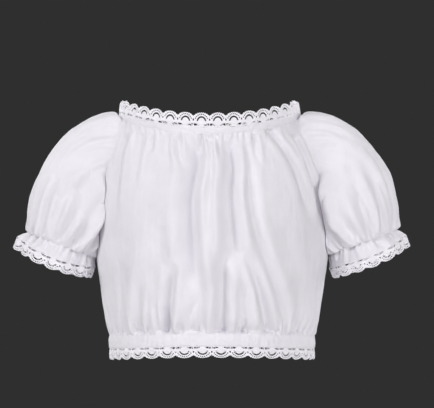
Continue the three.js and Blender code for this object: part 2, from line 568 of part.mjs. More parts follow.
function build() {
  const blouse = new THREE.Group();
  const add = (name, geometry, colour, roughness) => blouse.add(piece(name, geometry, colour, roughness));

  const frontRows = panelRows(-1, FRONT_COLUMNS);
  const backRows = panelRows(1, BACK_COLUMNS);
  add("front_panel", clothWall(frontRows.map((row) => [...row].reverse()), CLOTH_WALL, false), COLOURS.cloth, 0.8);
  add("back_panel", clothWall(backRows, CLOTH_WALL, false), COLOURS.cloth, 0.8);

  for (const [side, mirror] of [["right", 1], ["left", -1]]) {
    const loop = mirror > 0
      ? armhole(frontRows, backRows, NECK.shift)
      : armhole(mirrored(frontRows), mirrored(backRows), -NECK.shift);
    const turned = (rows) => (mirror > 0 ? rows.map((row) => [...row].reverse()) : mirroredRing(rows));
    const sleeve = sleeveRows(loop, side, mirror);
    add(`sleeve_${side}`, clothWall(turned(sleeve), CLOTH_WALL, true), COLOURS.cloth, 0.8);
    add(`cuff_${side}`, clothWall(turned(cuffRows(side)), CLOTH_WALL, true), COLOURS.cloth, 0.8);
    for (const [half, first] of [["front", 0], ["back", SCALLOPS.cuff / 2]]) {
      add(`cuff_lace_${side}_${half}`, laceStrip(SCALLOPS.cuff / 2, cuffLace(side, first, mirror)), COLOURS.lace, 0.85);
    }
  }

  const casing = bandRows(NECK, CASING_STEPS, NECK.shift, neckTop, NECK.casing);
  const band = bandRows(HEM, BAND_STEPS, 0, hemTop, HEM.height);
  add("neck_casing", clothWall(casing, BAND_WALL, true), COLOURS.band, 0.8);
  add("hem_band", clothWall(band, BAND_WALL, true), COLOURS.band, 0.8);

  const neckEdge = { base: (x) => neckTop(x) + LEAN_GAP, up: 1, lean: 1, drop: DROP.neck, shift: NECK.shift };
  const hemEdge = { base: (x) => hemTop(x) - HEM.height - LEAN_GAP, up: -1, lean: 1.5, drop: DROP.hem, shift: 0 };
  for (const [half, start] of [["front", 0], ["back", 0.5]]) {
    const neckPlace = ringLace(NECK, SCALLOPS.neck, SCALLOPS.neck * start, neckEdge);
    const hemPlace = ringLace(HEM, SCALLOPS.hem, SCALLOPS.hem * start, hemEdge);
    add(`neck_lace_${half}`, laceStrip(SCALLOPS.neck / 2, neckPlace), COLOURS.lace, 0.85);
    add(`hem_lace_${half}`, laceStrip(SCALLOPS.hem / 2, hemPlace), COLOURS.lace, 0.85);
  }
  return blouse;
}

export default build();
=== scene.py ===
# Looks of a white dirndl blouse, filled out as it is when worn: gathered cotton panels and puffed raglan
# sleeves, a ruched neck casing, frilled cuffs, an elastic band under the bust, and scalloped cotton lace at
# every edge. Sizes are millimetres until a mesh is made, +Z is up, the front faces -Y and the wearer's left
# is +X.
import math

import bpy
import numpy as np
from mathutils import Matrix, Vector
from mathutils.geometry import delaunay_2d_cdt


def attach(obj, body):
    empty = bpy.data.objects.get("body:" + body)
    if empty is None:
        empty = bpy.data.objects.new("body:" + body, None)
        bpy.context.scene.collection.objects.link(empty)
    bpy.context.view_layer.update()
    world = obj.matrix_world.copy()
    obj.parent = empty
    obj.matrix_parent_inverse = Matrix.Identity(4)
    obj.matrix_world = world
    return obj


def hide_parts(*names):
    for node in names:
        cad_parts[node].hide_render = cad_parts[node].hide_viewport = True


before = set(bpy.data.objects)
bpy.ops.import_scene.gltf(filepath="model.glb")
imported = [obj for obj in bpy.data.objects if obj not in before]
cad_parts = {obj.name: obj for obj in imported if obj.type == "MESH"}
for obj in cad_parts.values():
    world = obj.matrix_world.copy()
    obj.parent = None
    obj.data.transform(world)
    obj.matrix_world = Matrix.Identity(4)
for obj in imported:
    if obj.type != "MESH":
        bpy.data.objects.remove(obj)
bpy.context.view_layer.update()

MM = 0.001

# Walls of the cloth, of the casing and the band, and of the lace.
CLOTH_WALL = 0.7
BAND_WALL = 1.2
LACE_WALL = 0.8

# The gap of the panels to the casing and the band, and how far above the cuff's elastic line a sleeve ends.
SEAM_GAP = 0.85
CUFF_GAP = 0.39

# The neck casing and the band under the bust. Front and back are their depths before and behind the middle,
# crown is how far the strip swells between its edges, and wrinkle how high its small wrinkles are.
NECK = dict(
    half_width=127, front=105, back=95, shift=-3, side_top=0, centre_top=-24.3, dip_power=2.3,
    height=8, crown=0.5, wrinkle=0.3, seed=5,
)
HEM = dict(
    half_width=142.5, front=106, back=99, shift=0, top=-302.8, dip=5.8,
    height=17.2, crown=1.0, wrinkle=0.4, seed=7,
)

# The body between them, a row for each height of its sides: half its width, its depths before and behind the
# middle, how far out the raglan seam is, and how far its middle lies towards the wearer's left.
BODY_COLUMNS = ("edge", "half_width", "front", "back", "seam", "shift")
BODY = [
    (-9, 127, 105, 95, 119, -3),
    (-28, 138, 109, 100, 124, -2),
    (-45, 147, 113, 104, 130.5, -1),
    (-69, 156, 118, 109, 139.5, 0),
    (-88, 160, 122, 112, 147.5, 0),
    (-119, 161.5, 127, 115, 155, 0),
    (-145, 161.5, 129.5, 116, 159, 0),
    (-168, 161, 130, 116, 161, 0),
    (-200, 161, 128.5, 114, 161, 0),
    (-233, 156.5, 124.5, 110.5, 156.5, 0),
    (-267, 151.5, 119, 107, 151.5, 0),
    (-290, 148, 114, 104, 148, 0),
    (-309, 142.5, 106, 99, 142.5, 0),
]
ARMPIT = dict(out=162.8, height=-168)

# The armhole: steps down a seam and across the panels, the sleeve's step on from a panel, how far it stands
# out in mid-seam and at both ends, its step and level at the shoulder, and its tuck behind the panels.
SEAM_ROWS = 8
SEAM_COLUMNS = dict(front=48, back=36)
SEAM_STEP = 0.6
SEAM_STAND = (0.3, 1.6)
SHOULDER_STEP = 1.2
SHOULDER_LEVEL = 0.6
TUCK = dict(back=4, inward=1.6)

# Folds of the front and the back: upper and lower end, x at even steps between them, depth, half the width,
# the shares of its length over which it rises and falls, and how much sharper its side towards the wearer's
# left is. A negative depth is a ridge. A held fold is deep close to the edge, and a free one fades slowly.
# Columns: top, end, path, depth, half, rise, fall, sharp.
HELD, FREE = 0.03, 0.55
FRONT_FOLDS = [
    (-34, -276, (-22, -21, -29, -29, -26, -25, -28), 17, 10.5, 0.13, 0.36, 0.2),
    (-34, -244, (25, 29, 26, 29, 33, 45), 14.5, 9, 0.13, 0.4, 0.1),
    (-34, -302, (49, 50, 53, 62, 77, 92, 99), 5.5, 7.5, 0.08, 0.12, 0),
    (-176, -306, (13, 15, 16, 16, 13), 13.5, 9, 0.4, HELD, 0.1),
    (-180, -304, (42, 55, 65, 72, 77), 7.5, 7.5, 0.4, HELD, -0.2),
    (-36, -180, (-1, 0, -3, -5, -6), 4, 4.5, HELD, FREE, 0.2),
    (-26, -170, (-114, -126, -131, -134, -138), 5, 5, 0.1, FREE, 0.2),
    (-30, -120, (-93, -98, -102, -106, -109), 2.5, 5, HELD, FREE, 0.2),
    (-24, -166, (80, 105, 121, 131, 137), 6.5, 5.5, HELD, 0.4, 0.2),
    (-26, -176, (114, 126, 136, 144, 149, 151.5, 152), 7.5, 3.6, 0.1, 0.5, 0.2),
    (-186, -306, (-47, -53, -57, -60, -62), 10, 6.5, 0.45, HELD, 0.1),
    (-256, -306, (-24, -28, -31, -34, -37), 4.5, 4.5, 0.4, HELD, 0.2),
    (-226, -306, (-6, -12, -16, -17, -19), 7, 9.5, 0.4, HELD, 0.2),
    (-226, -306, (37, 41, 42, 43, 44), 7, 9.5, 0.4, HELD, 0.2),
    (-150, -300, (-112, -118, -122, -124, -122), 3, 9, FREE, 0.3, 0.2),
    (-176, -306, (112, 116, 119, 121, 119), 4, 8, FREE, HELD, 0.2),
    (-200, -306, (133, 131, 129, 126, 122), 3, 6, FREE, HELD, 0.2),
    (-215, -306, (-98, -99, -100, -99, -96), 4, 5.5, FREE, HELD, 0.2),
    (-34, -96, (-46, -45, -43, -39, -37), 5, 4.2, 0.12, FREE, 0),
    (-34, -80, (-12, -12, -11, -11, -10), 3.5, 3.2, HELD, FREE, 0.2),
    (-34, -74, (10, 11, 11, 12, 12), 3, 3.2, HELD, FREE, 0.2),
    (-34, -84, (61, 62, 62, 63, 64), 4, 4, HELD, FREE, 0.2),
    (-34, -64, (-78, -79, -80, -82, -83), 2, 3.5, HELD, FREE, 0.2),
    (-50, -180, (-70, -76, -84, -90, -94), 2.2, 11, FREE, FREE, 0.2),
    (-80, -250, (-6, 0, 3, 6, 8), -3, 8, FREE, FREE, 0.2),
    (-120, -260, (-60, -64, -68, -70, -72), 2.2, 12, FREE, FREE, 0.2),
    (-100, -250, (90, 96, 100, 104, 106), 2.2, 12, FREE, FREE, 0.2),
]
BACK_FOLDS = [
    (-34, -246, (-30, -34, -39, -41, -50), 9, 7.5, HELD, 0.35, 0.3),
    (-34, -186, (6, 3, 7, 9, 8), 6, 5.5, HELD, 0.5, -0.2),
    (-34, -282, (38, 41, 39, 48, 60, 66), 8.5, 7.5, HELD, 0.3, -0.3),
    (-34, -128, (-72, -75, -83, -86, -88), 4.5, 5, HELD, FREE, 0.2),
    (-34, -108, (84, 85, 90, 93, 94), 3.5, 5, HELD, FREE, 0.2),
    (-34, -92, (-54, -55, -53, -52, -51), 4, 4, HELD, FREE, 0.2),
    (-34, -78, (22, 22, 21, 20, 20), 3, 3.5, HELD, FREE, 0.2),
    (-196, -306, (-10, -13, -17, -16, -15), 8.5, 7, 0.4, HELD, 0.2),
    (-226, -306, (25, 27, 26, 25, 24), 6, 8, 0.4, HELD, 0.2),
    (-214, -306, (-71, -76, -79, -78, -76), 5.5, 6.5, FREE, HELD, -0.2),
    (-232, -306, (97, 96, 93, 91, 90), 4.5, 5.5, FREE, HELD, 0.2),
    (-26, -166, (-88, -102, -114, -122, -131), 5, 6, HELD, 0.4, 0.2),
    (-26, -138, (96, 105, 114, 121, 128), 4.5, 6, HELD, 0.4, 0.2),
    (-190, -306, (-126, -124, -122, -120, -117), 3.5, 7, FREE, HELD, 0.2),
    (-170, -306, (128, 127, 125, 123, 120), 3.5, 7, FREE, HELD, 0.2),
    (-110, -270, (-92, -98, -102, -104, -106), 2.4, 12, FREE, FREE, 0.2),
    (-130, -250, (80, 84, 86, 88, 88), 2.4, 12, FREE, FREE, 0.2),
    (-90, -240, (-8, -4, -2, 0, 2), -2.6, 9, FREE, FREE, 0.2),
]

# Small gathers at an edge: how many, how deep they are, how far they run and half their width.
GATHERS = dict(
    neck=dict(count=46, depth=2.7, reach=21, half=2.4),
    hem=dict(count=54, depth=5.2, reach=18, half=2.5),
    cuff=dict(count=34, depth=4.4, reach=21, half=2.8),
    shoulder=dict(count=26, depth=1.7, reach=24, half=3.0),
)
CRUMPLE = [dict(size=46, height=0.55), dict(size=19, height=0.16)]

# How far the arm leans out, and each cuff ring: its middle, and half its width across and from front to back.
ARM_LEAN = math.radians(20.5)
CUFF = dict(
    right=dict(x=210.1, z=-182, across=50.3, deep=45),
    left=dict(x=210.7, z=-177.5, across=50, deep=45),
)

# The frill: its length and its flare in degrees on the arm's outer side, at front and back, and on the inner
# side, the waves of its end, its share of the small gathers, and the groove of the elastic line.
FRILL = dict(
    right=dict(length=(11, 20, 13), flare=(44, 22, 15)),
    left=dict(length=(12, 21.5, 18), flare=(40, 22, 15)),
)
RUFFLE = 2.0
PUCKER = 1.1
GROOVE = dict(depth=0.5, below=2.2, half=1.6, edge=0.2)
CUFF_TOP = 1.2

# The puff, in pairs for the arm's inner and outer side: how far the sleeve sets out from the seam, rises
# there, hangs above the cuff and swells beyond it, and the power of each change from side to side. Turn is
# its way out of the panel in radians, in general and at SEAM_TURN, in degrees off the outer side, and
# shoulder is the height of its crest.
PUFF = dict(
    right=dict(reach=(9, 65), rise=(0, 15), hang=(9, 92), swell=(0, 37), turn=(0.35, 0.9), shoulder=4),
    left=dict(reach=(9, 70), rise=(0, 23), hang=(9, 88), swell=(0, 41), turn=(0.35, 0.9), shoulder=4),
)
PUFF_POWER = dict(reach=1, rise=1.5, hang=0.85, swell=0.55)
SEAM_TURN = dict(at=62, half=36)

# The sleeve's front swells over the side of the body, from a share of its length on, and stays clear of it.
BULGE = dict(turn=140, half=58, forward=26, inward=17, start=0.07)
BODY_GAP = 1.6

# Shares of a sleeve's length: where it is first clear of the body, and where the shoulder is highest.
BODY_GAP_START = 0.03
SHOULDER_CREST = 0.04

# How far from its outer line a sleeve is gathered into the casing, in degrees, how far from the seam its
# folds have their depth, and how much its rows crowd towards both ends.
NECK_REACH = 44
SEAM_CALM = 6
ROW_CROWDING = 0.35

# Folds of a sleeve: the turn at both ends in degrees from the outer side towards the front, both ends from 0
# at the seam to 1 at the cuff, the depth, and half the width in degrees.
# Columns: turn_top, turn_end, start, end, depth, half.
SLEEVE_FOLDS = dict(
    right=[
        (133, 117, 0.12, 1.07, 12, 6), (104, 98, 0.62, 1.02, 5, 4), (88, 80, 0.5, 1.02, 7, 6),
        (104, 92, 0.7, 1.02, 4, 4), (66, 66, 0.58, 1.02, 6, 6), (46, 50, 0.62, 1.02, 5, 5),
        (30, 34, 0.5, 1.02, 4, 6), (14, 18, 0.66, 1.02, 3.5, 5), (30, 31, -0.06, 0.42, 3.4, 4),
        (43, 38, -0.06, 0.55, 3.4, 4.5), (58, 50, -0.06, 0.36, 2.6, 4), (18, 20, -0.06, 0.36, 3, 4),
        (84, 68, 0.26, 0.68, 6.5, 9), (76, 84, -0.05, 0.3, 2.2, 5), (6, 8, -0.05, 0.3, 2.4, 4),
        (146, 138, 0.5, 1.04, 6, 4.5), (163, 154, 0.5, 1.04, 6, 5), (208, 210, 0, 1, -4, 12),
        (222, 244, 0.08, 1.02, 9, 8), (262, 268, 0.6, 1.02, 5, 5), (292, 300, 0.42, 1.02, 6, 7),
        (318, 320, 0.66, 1.02, 4.5, 5), (338, 336, 0.5, 1.02, 4, 6), (300, 318, -0.05, 0.4, 3, 5),
        (328, 332, -0.05, 0.4, 3, 4.5),
    ],
    left=[
        (158, 142, 0.5, 1.04, 6, 6), (122, 108, 0.56, 1.03, 8, 6), (98, 90, 0.42, 1.02, 9, 8),
        (78, 76, 0.66, 1.02, 4.5, 4), (64, 66, 0.52, 1.02, 6, 6), (48, 52, 0.68, 1.02, 4.5, 4),
        (36, 40, 0.45, 1.02, 4.5, 6), (20, 24, 0.64, 1.02, 4, 4.5), (4, 8, 0.58, 1.02, 3.5, 5),
        (29, 26, -0.06, 0.42, 3, 4), (42, 40, -0.06, 0.32, 2.6, 4), (60, 46, -0.06, 0.34, 2.2, 5),
        (98, 80, 0.38, 0.7, 3.5, 9), (118, 114, 0.34, 0.8, 6, 10), (17, 15, -0.06, 0.4, 3, 4),
        (6, 8, -0.05, 0.3, 2.4, 4), (174, 156, 0.35, 1.02, 5, 6), (208, 210, 0, 1, -4, 12),
        (222, 240, 0.1, 1.02, 9, 8), (258, 262, 0.62, 1.02, 5, 5), (276, 280, 0.45, 1.02, 6, 7),
        (302, 304, 0.66, 1.02, 4.5, 5), (318, 322, 0.5, 1.02, 4.5, 6), (306, 320, -0.05, 0.4, 3, 5),
        (334, 336, -0.05, 0.4, 3, 4.5),
    ],
)

# One repeat of lace, from the middle of its foot. Picots are the bumps of its rim, the slit is on the right,
# half an eye is at each side, and the crescent and the dots lie round the centre. The spare places keep its
# triangles even, and a strip stops short of its last repeat by a share of it.
LACE = dict(width=19, pitch=24, notch=11.6, picots=9, picot=1.0, picot_lean=0.75, round=0.62, centre=7)
LACE_SLIT = [(3.4, 1.6), (11.3, 1.4), (11.3, 4.6), (8.2, 4.4), (5.4, 3.8), (3.9, 2.9)]
LACE_EYE = dict(height=9.4, half=1.0, tall=1.5, corner=0.5)
LACE_CRESCENT = dict(outer=7.2, inner=5.0, start=2, end=178)
LACE_DOTS = dict(radius=9.7, size=1.0, count=9, start=26, end=154)
LACE_SPARE = dict(along=(-9.5, -7.5, -2.2, 0, 2.2, 7.5, 9.5), up=(5.5, 8.5, 11.2))
PICOT_STEPS = 4
LACE_END = 0.012

# At each edge: how wide the lace shows, how far above the edge its foot is sewn on, and its scallops.
DROP = dict(neck=20, hem=16.5, cuff=17)
FOOT = dict(neck=0.2, hem=0.6, cuff=0.6)
SCALLOPS = dict(neck=36, hem=36, cuff=16)

# The lace at the neck and the hem: which way it stands, how far its rim leans out at the front and back and
# at both sides, and how much more it wavers at the sides.
STANDING = dict(
    neck=dict(ring=NECK, up=1, lean=(-1.6, -5.0), spread=1.5, seed=3),
    hem=dict(ring=HEM, up=-1, lean=(-1.0, -1.5), spread=0.6, seed=4),
)

# Stitches: their pitch, the shares of it where one starts and ends, how high it lies and arches, how flat it
# is, and the thread's radius along it.
STITCH = dict(pitch=3.2, start=0.12, end=0.82, lift=0.12, arch=0.14, flat=0.8)
STITCH_BEAD = [(0, 0.12), (0.2, 0.26), (0.5, 0.3), (0.8, 0.26), (1, 0.12)]
BEAD_SIDES = 6

# Wrinkles of the casing and the band: how far apart they are on a ring, its height pressed to run across it.
WRINKLES = dict(fine=6.5, broad=13, edge=11, radius=120, stretch=0.35)

# The threads' pitch and drift, the stretch of the creases, and the rounds and spokes of the lace's threads.
THREAD_PITCH = 0.42
THREAD_DRIFT = 2.0
CREASE_STRETCH = (1, 1, 0.28)
LACE_THREADS = dict(pitch=1.15, spokes=44)

# Seeds of the small gathers and the crumple.
PANEL_SEEDS = dict(front=11, back=21)
SLEEVE_SEEDS = dict(right=60, left=80)
CUFF_SEEDS = dict(right=31, left=47)

# How many mesh steps each piece has.
PANEL_STEPS = dict(columns=300, rows=130)
SLEEVE_STEPS = dict(columns=264, rows=150)
CASING_STEPS = dict(columns=520, rows=10)
BAND_STEPS = dict(columns=430, rows=14)
CUFF_STEPS = dict(columns=264, rows=26)


def lerp(a, b, t):
    return a + (b - a) * t


def turns(count):
    return np.arange(count) * math.tau / count


def hump(x):
    return np.exp(-(x**2))


def length_along(points, axis):
    """The length along an axis of a line or grid, from its first place to each."""
    steps = np.linalg.norm(np.diff(points, axis=axis), axis=-1)
    pad = [(0, 0)] * steps.ndim
    pad[axis] = (1, 0)
    return np.cumsum(np.pad(steps, pad), axis=axis)


def unit(vectors):
    return vectors / np.maximum(np.linalg.norm(vectors, axis=-1, keepdims=True), 1e-9)


def body_at(name, edge):
    """A column of the body's table at the height of a row's ends, on a smooth curve through the rows."""
    keys = np.array([-row[0] for row in BODY], float)
    values = np.array([row[BODY_COLUMNS.index(name)] for row in BODY], float)
    places = np.arange(len(keys))
    lower, upper = np.maximum(places - 1, 0), np.minimum(places + 1, len(keys) - 1)
    slopes = (values[upper] - values[lower]) / (keys[upper] - keys[lower])
    at = np.clip(-np.asarray(edge, float), keys[0], keys[-1])
    i = np.clip(np.searchsorted(keys, at, side="right") - 1, 0, len(keys) - 2)
    step = keys[i + 1] - keys[i]
    t = (at - keys[i]) / step
    start = (2 * t**3 - 3 * t**2 + 1) * values[i] + (t**3 - 2 * t**2 + t) * step * slopes[i]
    return start + (3 * t**2 - 2 * t**3) * values[i + 1] + (t**3 - t**2) * step * slopes[i + 1]


def ellipse(half_width, front, back, angle):
    """Points of a ring at angles from its front towards the wearer's right, and their outward directions."""
    sin, cos = np.sin(angle), np.cos(angle)
    depth = np.where(cos > 0, front, back)
    flat = np.zeros_like(sin)
    point = np.stack([-half_width * sin, -depth * cos, flat], -1)
    return point, unit(np.stack([-sin / half_width, -cos / depth, flat], -1))


def even_angles(half_width, depth, end, count):
    """Angles from -end to end that lie at even steps of length along an ellipse."""
    fine = np.linspace(-end, end, 801)
    point, _ = ellipse(half_width, depth, depth, fine)
    length = length_along(point, 0)
    return np.interp(np.linspace(0, length[-1], count + 1), length, fine)


def neck_top(x):
    share = np.abs((x - NECK["shift"]) / NECK["half_width"])
    return NECK["centre_top"] + (NECK["side_top"] - NECK["centre_top"]) * share ** NECK["dip_power"]


def hem_top(x):
    return HEM["top"] - HEM["dip"] * (x / HEM["half_width"]) ** 2


NECK_SEAM = BODY[0][BODY_COLUMNS.index("seam")]
EDGE_TOP = float(neck_top(NECK_SEAM + NECK["shift"])) - NECK["height"] - SEAM_GAP
CENTRE_TOP = NECK["centre_top"] - NECK["height"] - SEAM_GAP
EDGE_BOTTOM = float(hem_top(HEM["half_width"])) + SEAM_GAP
CENTRE_BOTTOM = float(hem_top(0)) + SEAM_GAP
ARMPIT_SHARE = (EDGE_TOP - ARMPIT["height"]) / (EDGE_TOP - EDGE_BOTTOM)


def uneven(point, size, seed):
    """Smooth unevenness from about -1 to 1, with its humps about size apart, from seeded waves."""
    count, scale = 12, 3.5
    random = np.random.default_rng(seed)
    waves = unit(random.normal(size=(count, 3))) * (math.tau / size) * random.uniform(0.6, 1.4, (count, 1))
    phases = random.uniform(0, math.tau, count)
    return sum(np.sin(point @ wave + phase) for wave, phase in zip(waves, phases)) / scale


def crumple(point, seed):
    return sum(c["height"] * uneven(point, c["size"], seed + i) for i, c in enumerate(CRUMPLE))


def trough(distance):
    """A fold's section: a trough with a low ridge on each side."""
    return hump(distance) - 0.2 * hump((np.abs(distance) - 2.0) / 0.9)


def ease(t):
    t = np.clip(t, 0, 1)
    return t * t * (3 - 2 * t)


def curve(a, b, c, d, t):
    """A smooth curve from b to c, the middle two of four values."""
    return b + (c - a) * t / 2 + (2 * a - 5 * b + 4 * c - d) * t**2 / 2 + (3 * b - a - 3 * c + d) * t**3 / 2


def between(values, t):
    """A smooth curve through values at even steps of t from 0 to 1."""
    values = np.array([2 * values[0] - values[1], *values, 2 * values[-1] - values[-2]], float)
    at = np.clip(t, 0, 1) * (len(values) - 3)
    i = np.minimum(at.astype(int), len(values) - 4)
    return curve(*(values[i + k] for k in range(4)), at - i)


def folded(folds, x, z):
    """How far the folds of a table push the cloth in at (x, z)."""
    total = np.zeros_like(x)
    for top, end, path, depth, half, rise, fall, sharp in folds:
        t = (top - z) / (top - end)
        fade = ease(t / rise) * ease((1 - t) / fall)
        off = x - between(path, t)
        spread = half * (1 + 0.5 * (1 - fade)) * (1 - sharp * np.tanh(off / half))
        total += depth * fade * trough(off / spread)
    return total


def gathered(kind, share, width, away, seed, closed=False):
    """Small gathers at an edge: share counts along it, width is its length, away the distance from it."""
    random = np.random.default_rng(seed)
    sizes = GATHERS[kind]
    total = np.zeros(np.broadcast(share, away).shape)
    for i in range(sizes["count"]):
        place = (i + random.uniform(0.15, 0.85)) / sizes["count"]
        depth = sizes["depth"] * random.uniform(0.45, 1.35)
        reach = sizes["reach"] * random.uniform(0.4, 1.0) * (2.1 if random.uniform() > 0.8 else 1)
        half = sizes["half"] * random.uniform(0.8, 1.3)
        drift = random.uniform(-0.22, 0.22)
        off = share - place
        if closed:
            off = (off + 0.5) % 1 - 0.5
        spread = half * (1 + away / reach * 0.45)
        fade = np.exp(-((away / reach) ** 1.4)) * lerp(0.35, 1, np.clip(away / 4, 0, 1))
        total += depth * fade * trough((off * width + drift * away) / spread)
    return total


def in_scene(name, data):
    item = bpy.data.objects.new(name, data)
    bpy.context.scene.collection.objects.link(item)
    return item


def make_mesh(name, vertices, faces, uvs, material):
    """A piece with its points in millimetres and one UV place for each corner of each face."""
    mesh = bpy.data.meshes.new(name)
    mesh.from_pydata((np.asarray(vertices) * MM).tolist(), [], np.asarray(faces).tolist())
    mesh.shade_smooth()
    layer = mesh.uv_layers.new(name="cloth")
    layer.data.foreach_set("uv", np.asarray(uvs, np.float32).ravel())
    mesh.materials.append(material)
    mesh.update()
    mesh.set_sharp_from_angle(angle=math.radians(55))
    return in_scene(name, mesh)


def grid_normals(grid, closed):
    """Directions out of a grid's surface. A closed grid's last column meets its first."""
    along = np.roll(grid, -1, 1) - np.roll(grid, 1, 1)
    if not closed:
        along[:, 0], along[:, -1] = grid[:, 1] - grid[:, 0], grid[:, -1] - grid[:, -2]
    return unit(np.cross(along, np.gradient(grid, axis=0)))


def shell(name, grid, wall, closed, material):
    """A thin closed piece of cloth from a grid of its middle surface, with lengths along it as UV."""
    normals = grid_normals(grid, closed)
    rows, columns = grid.shape[:2]
    ring = np.concatenate([grid, grid[:, :1]], 1) if closed else grid
    across = length_along(ring, 1)
    uv = np.stack([across - across[:, -1:] / 2, length_along(ring, 0)], -1)
    vertices = np.concatenate([(grid + normals * s * wall / 2).reshape(-1, 3) for s in (1, -1)])
    layer = rows * columns
    r, c = np.meshgrid(np.arange(rows - 1), np.arange(columns if closed else columns - 1), indexing="ij")
    r, c = r.ravel(), c.ravel()

    def corner(row, column, side):
        return side * layer + row * columns + column % columns

    def quads(corners):
        faces = np.stack([corner(row, column, side) for row, column, side in corners], -1)
        points = np.stack([uv[row, column] for row, column, side in corners], 1)
        return faces, points

    def rim(start, end):
        return quads([(*start, 0), (*start, 1), (*end, 1), (*end, 0)])

    parts = [
        quads([(r, c, 0), (r, c + 1, 0), (r + 1, c + 1, 0), (r + 1, c, 0)]),
        quads([(r, c, 1), (r + 1, c, 1), (r + 1, c + 1, 1), (r, c + 1, 1)]),
    ]
    across, down = c[r == 0], r[c == 0]
    top, bottom = np.zeros_like(across), np.full_like(across, rows - 1)
    parts += [rim((top, across), (top, across + 1)), rim((bottom, across + 1), (bottom, across))]
    if not closed:
        left, right = np.zeros_like(down), np.full_like(down, columns - 1)
        parts += [rim((down + 1, left), (down, left)), rim((down, right), (down + 1, right))]
    faces = np.concatenate([part[0] for part in parts])
    return make_mesh(name, vertices, faces, np.concatenate([part[1] for part in parts]), material)


def panel_base(side, shares, columns):
    """A panel's plain surface as seen from its own front: points, outward directions, heights and shifts."""
    points, outs, heights, shifts = [], [], [], []
    for share in shares:
        level = min(max(share, 0), 1)
        edge, centre = lerp(EDGE_TOP, EDGE_BOTTOM, share), lerp(CENTRE_TOP, CENTRE_BOTTOM, share)
        half_width = float(body_at("half_width", edge))
        depth = float(body_at("front" if side < 0 else "back", edge))
        seam = float(body_at("seam", edge)) if level < ARMPIT_SHARE else half_width
        angles = even_angles(half_width, depth, math.asin(min(seam / half_width, 1)), columns)
        point, out = ellipse(half_width, depth, depth, angles)
        dip = lerp(NECK["dip_power"], 2, level)
        points.append(point)
        outs.append(out)
        heights.append(centre + (edge - centre) * np.abs(point[:, 0] / seam) ** dip)
        shifts.append(float(body_at("shift", edge)))
    return np.array(points), np.array(outs), np.array(heights), np.array(shifts)


def placed(points, heights, shifts, side):
    """A panel's points in the blouse's own place, with side -1 for the front and 1 for the back."""
    grid = points.copy()
    grid[..., 0] += shifts[:, None]
    grid[..., 1] = side * np.maximum(-points[..., 1], 0.2)
    grid[..., 2] = heights
    return grid


def panel_grid(side, folds, seed):
    """A panel's cloth: its plain surface with its folds, gathers and crumple pushed in."""
    shares = np.concatenate([[-0.011], np.linspace(0, 1, PANEL_STEPS["rows"] + 1), [1.012]])
    points, outs, heights, shifts = panel_base(side, shares, PANEL_STEPS["columns"])
    width = np.linalg.norm(np.diff(points, axis=1), axis=2).sum(1)[:, None]
    share = np.linspace(0, 1, points.shape[1])[None, :]
    level = np.clip(shares, 0, 1)[:, None]
    length = CENTRE_TOP - CENTRE_BOTTOM
    from_neck, from_hem = level * length, (1 - level) * length
    to_edge = np.minimum(share, 1 - share) * width
    push = folded(folds, points[..., 0], heights)
    push += (1 - 0.7 * np.abs(2 * share - 1)) * gathered("neck", share, width, from_neck, seed)
    push += gathered("hem", share, width, from_hem, seed + 1)
    push += 0.8 * crumple(np.stack([points[..., 0], points[..., 1], heights], -1), seed + 2)
    push *= np.clip(to_edge / 9, 0, 1) ** 0.8
    push *= lerp(0.5, 1, np.clip(from_neck / 2, 0, 1) * np.clip(from_hem / 2, 0, 1))
    return placed(points - outs * push[..., None], heights, shifts, side)


def on_line(points, known, at):
    """Points of a line at places between those known for its own points."""
    return np.stack([np.interp(at, known, points[:, k]) for k in range(3)], -1)


def raglan_seam(side, mirror):
    """A sleeve's edge along one panel: places, and the directions out of the panel and on from it."""
    shares = [ARMPIT_SHARE * row / SEAM_ROWS for row in range(SEAM_ROWS + 1)]
    points, _, heights, shifts = panel_base(side, shares, SEAM_COLUMNS["front" if side < 0 else "back"])
    grid = placed(points, heights, shifts, side) * [mirror, 1, 1]
    edge, inner = (grid[:, -1], grid[:, -2]) if mirror > 0 else (grid[:, 0], grid[:, 1])
    steps = np.arange(2 * SEAM_ROWS) / 2
    at, before = (on_line(line, range(len(line)), steps) for line in (edge, inner))
    on = unit((at - before) * [1, 1, 0])
    out = np.stack([-np.abs(on[:, 1]), np.sign(at[:, 1]) * np.abs(on[:, 0]), 0 * steps], -1)
    share = steps / SEAM_ROWS
    near_end = np.maximum(np.maximum(1 - share / 0.15, (share - 0.7) / 0.3), 0)
    stand = lerp(*SEAM_STAND, near_end)
    return np.stack([at + on * SEAM_STEP + out * stand[:, None], out, on], 1)


def armhole(mirror):
    """A sleeve's upper edge, on the wearer's right: places round the arm, with both directions of each."""
    front, back = raglan_seam(-1, mirror), raglan_seam(1, mirror)
    away, still = [-1.0, 0, 0], [0, 0, 0]
    armpit = np.array([[[-ARMPIT["out"], 0, ARMPIT["height"]], away, still]])
    reach = NECK["half_width"] - NECK["shift"] * mirror + SHOULDER_STEP
    height = NECK["side_top"] - NECK["height"] * SHOULDER_LEVEL
    arc = []
    for share in (0, 0.5, -0.5):
        edge = front[0, 0] if share > 0 else back[0, 0]
        x = -lerp(reach, -edge[0], share * share)
        arc.append([[x, edge[1] * abs(share), height], away, still])
    arc = np.array(arc)
    return np.concatenate([arc[:2], front, armpit, back[::-1], arc[2:]])


def resampled(loop, count):
    """A closed loop of values, on a smooth curve through them at count even places."""
    size = len(loop)
    at = np.arange(count) * size / count
    i = at.astype(int)
    t = (at - i)[:, None, None]
    return curve(*(loop[(i + k) % size] for k in (-1, 0, 1, 2)), t)


def frill_value(side, name, angle):
    """The frill's length or flare at an angle round the arm."""
    outer, middle, inner = FRILL[side][name]
    cos = np.cos(angle)
    return lerp(middle, np.where(cos > 0, outer, inner), np.abs(cos) ** 2)


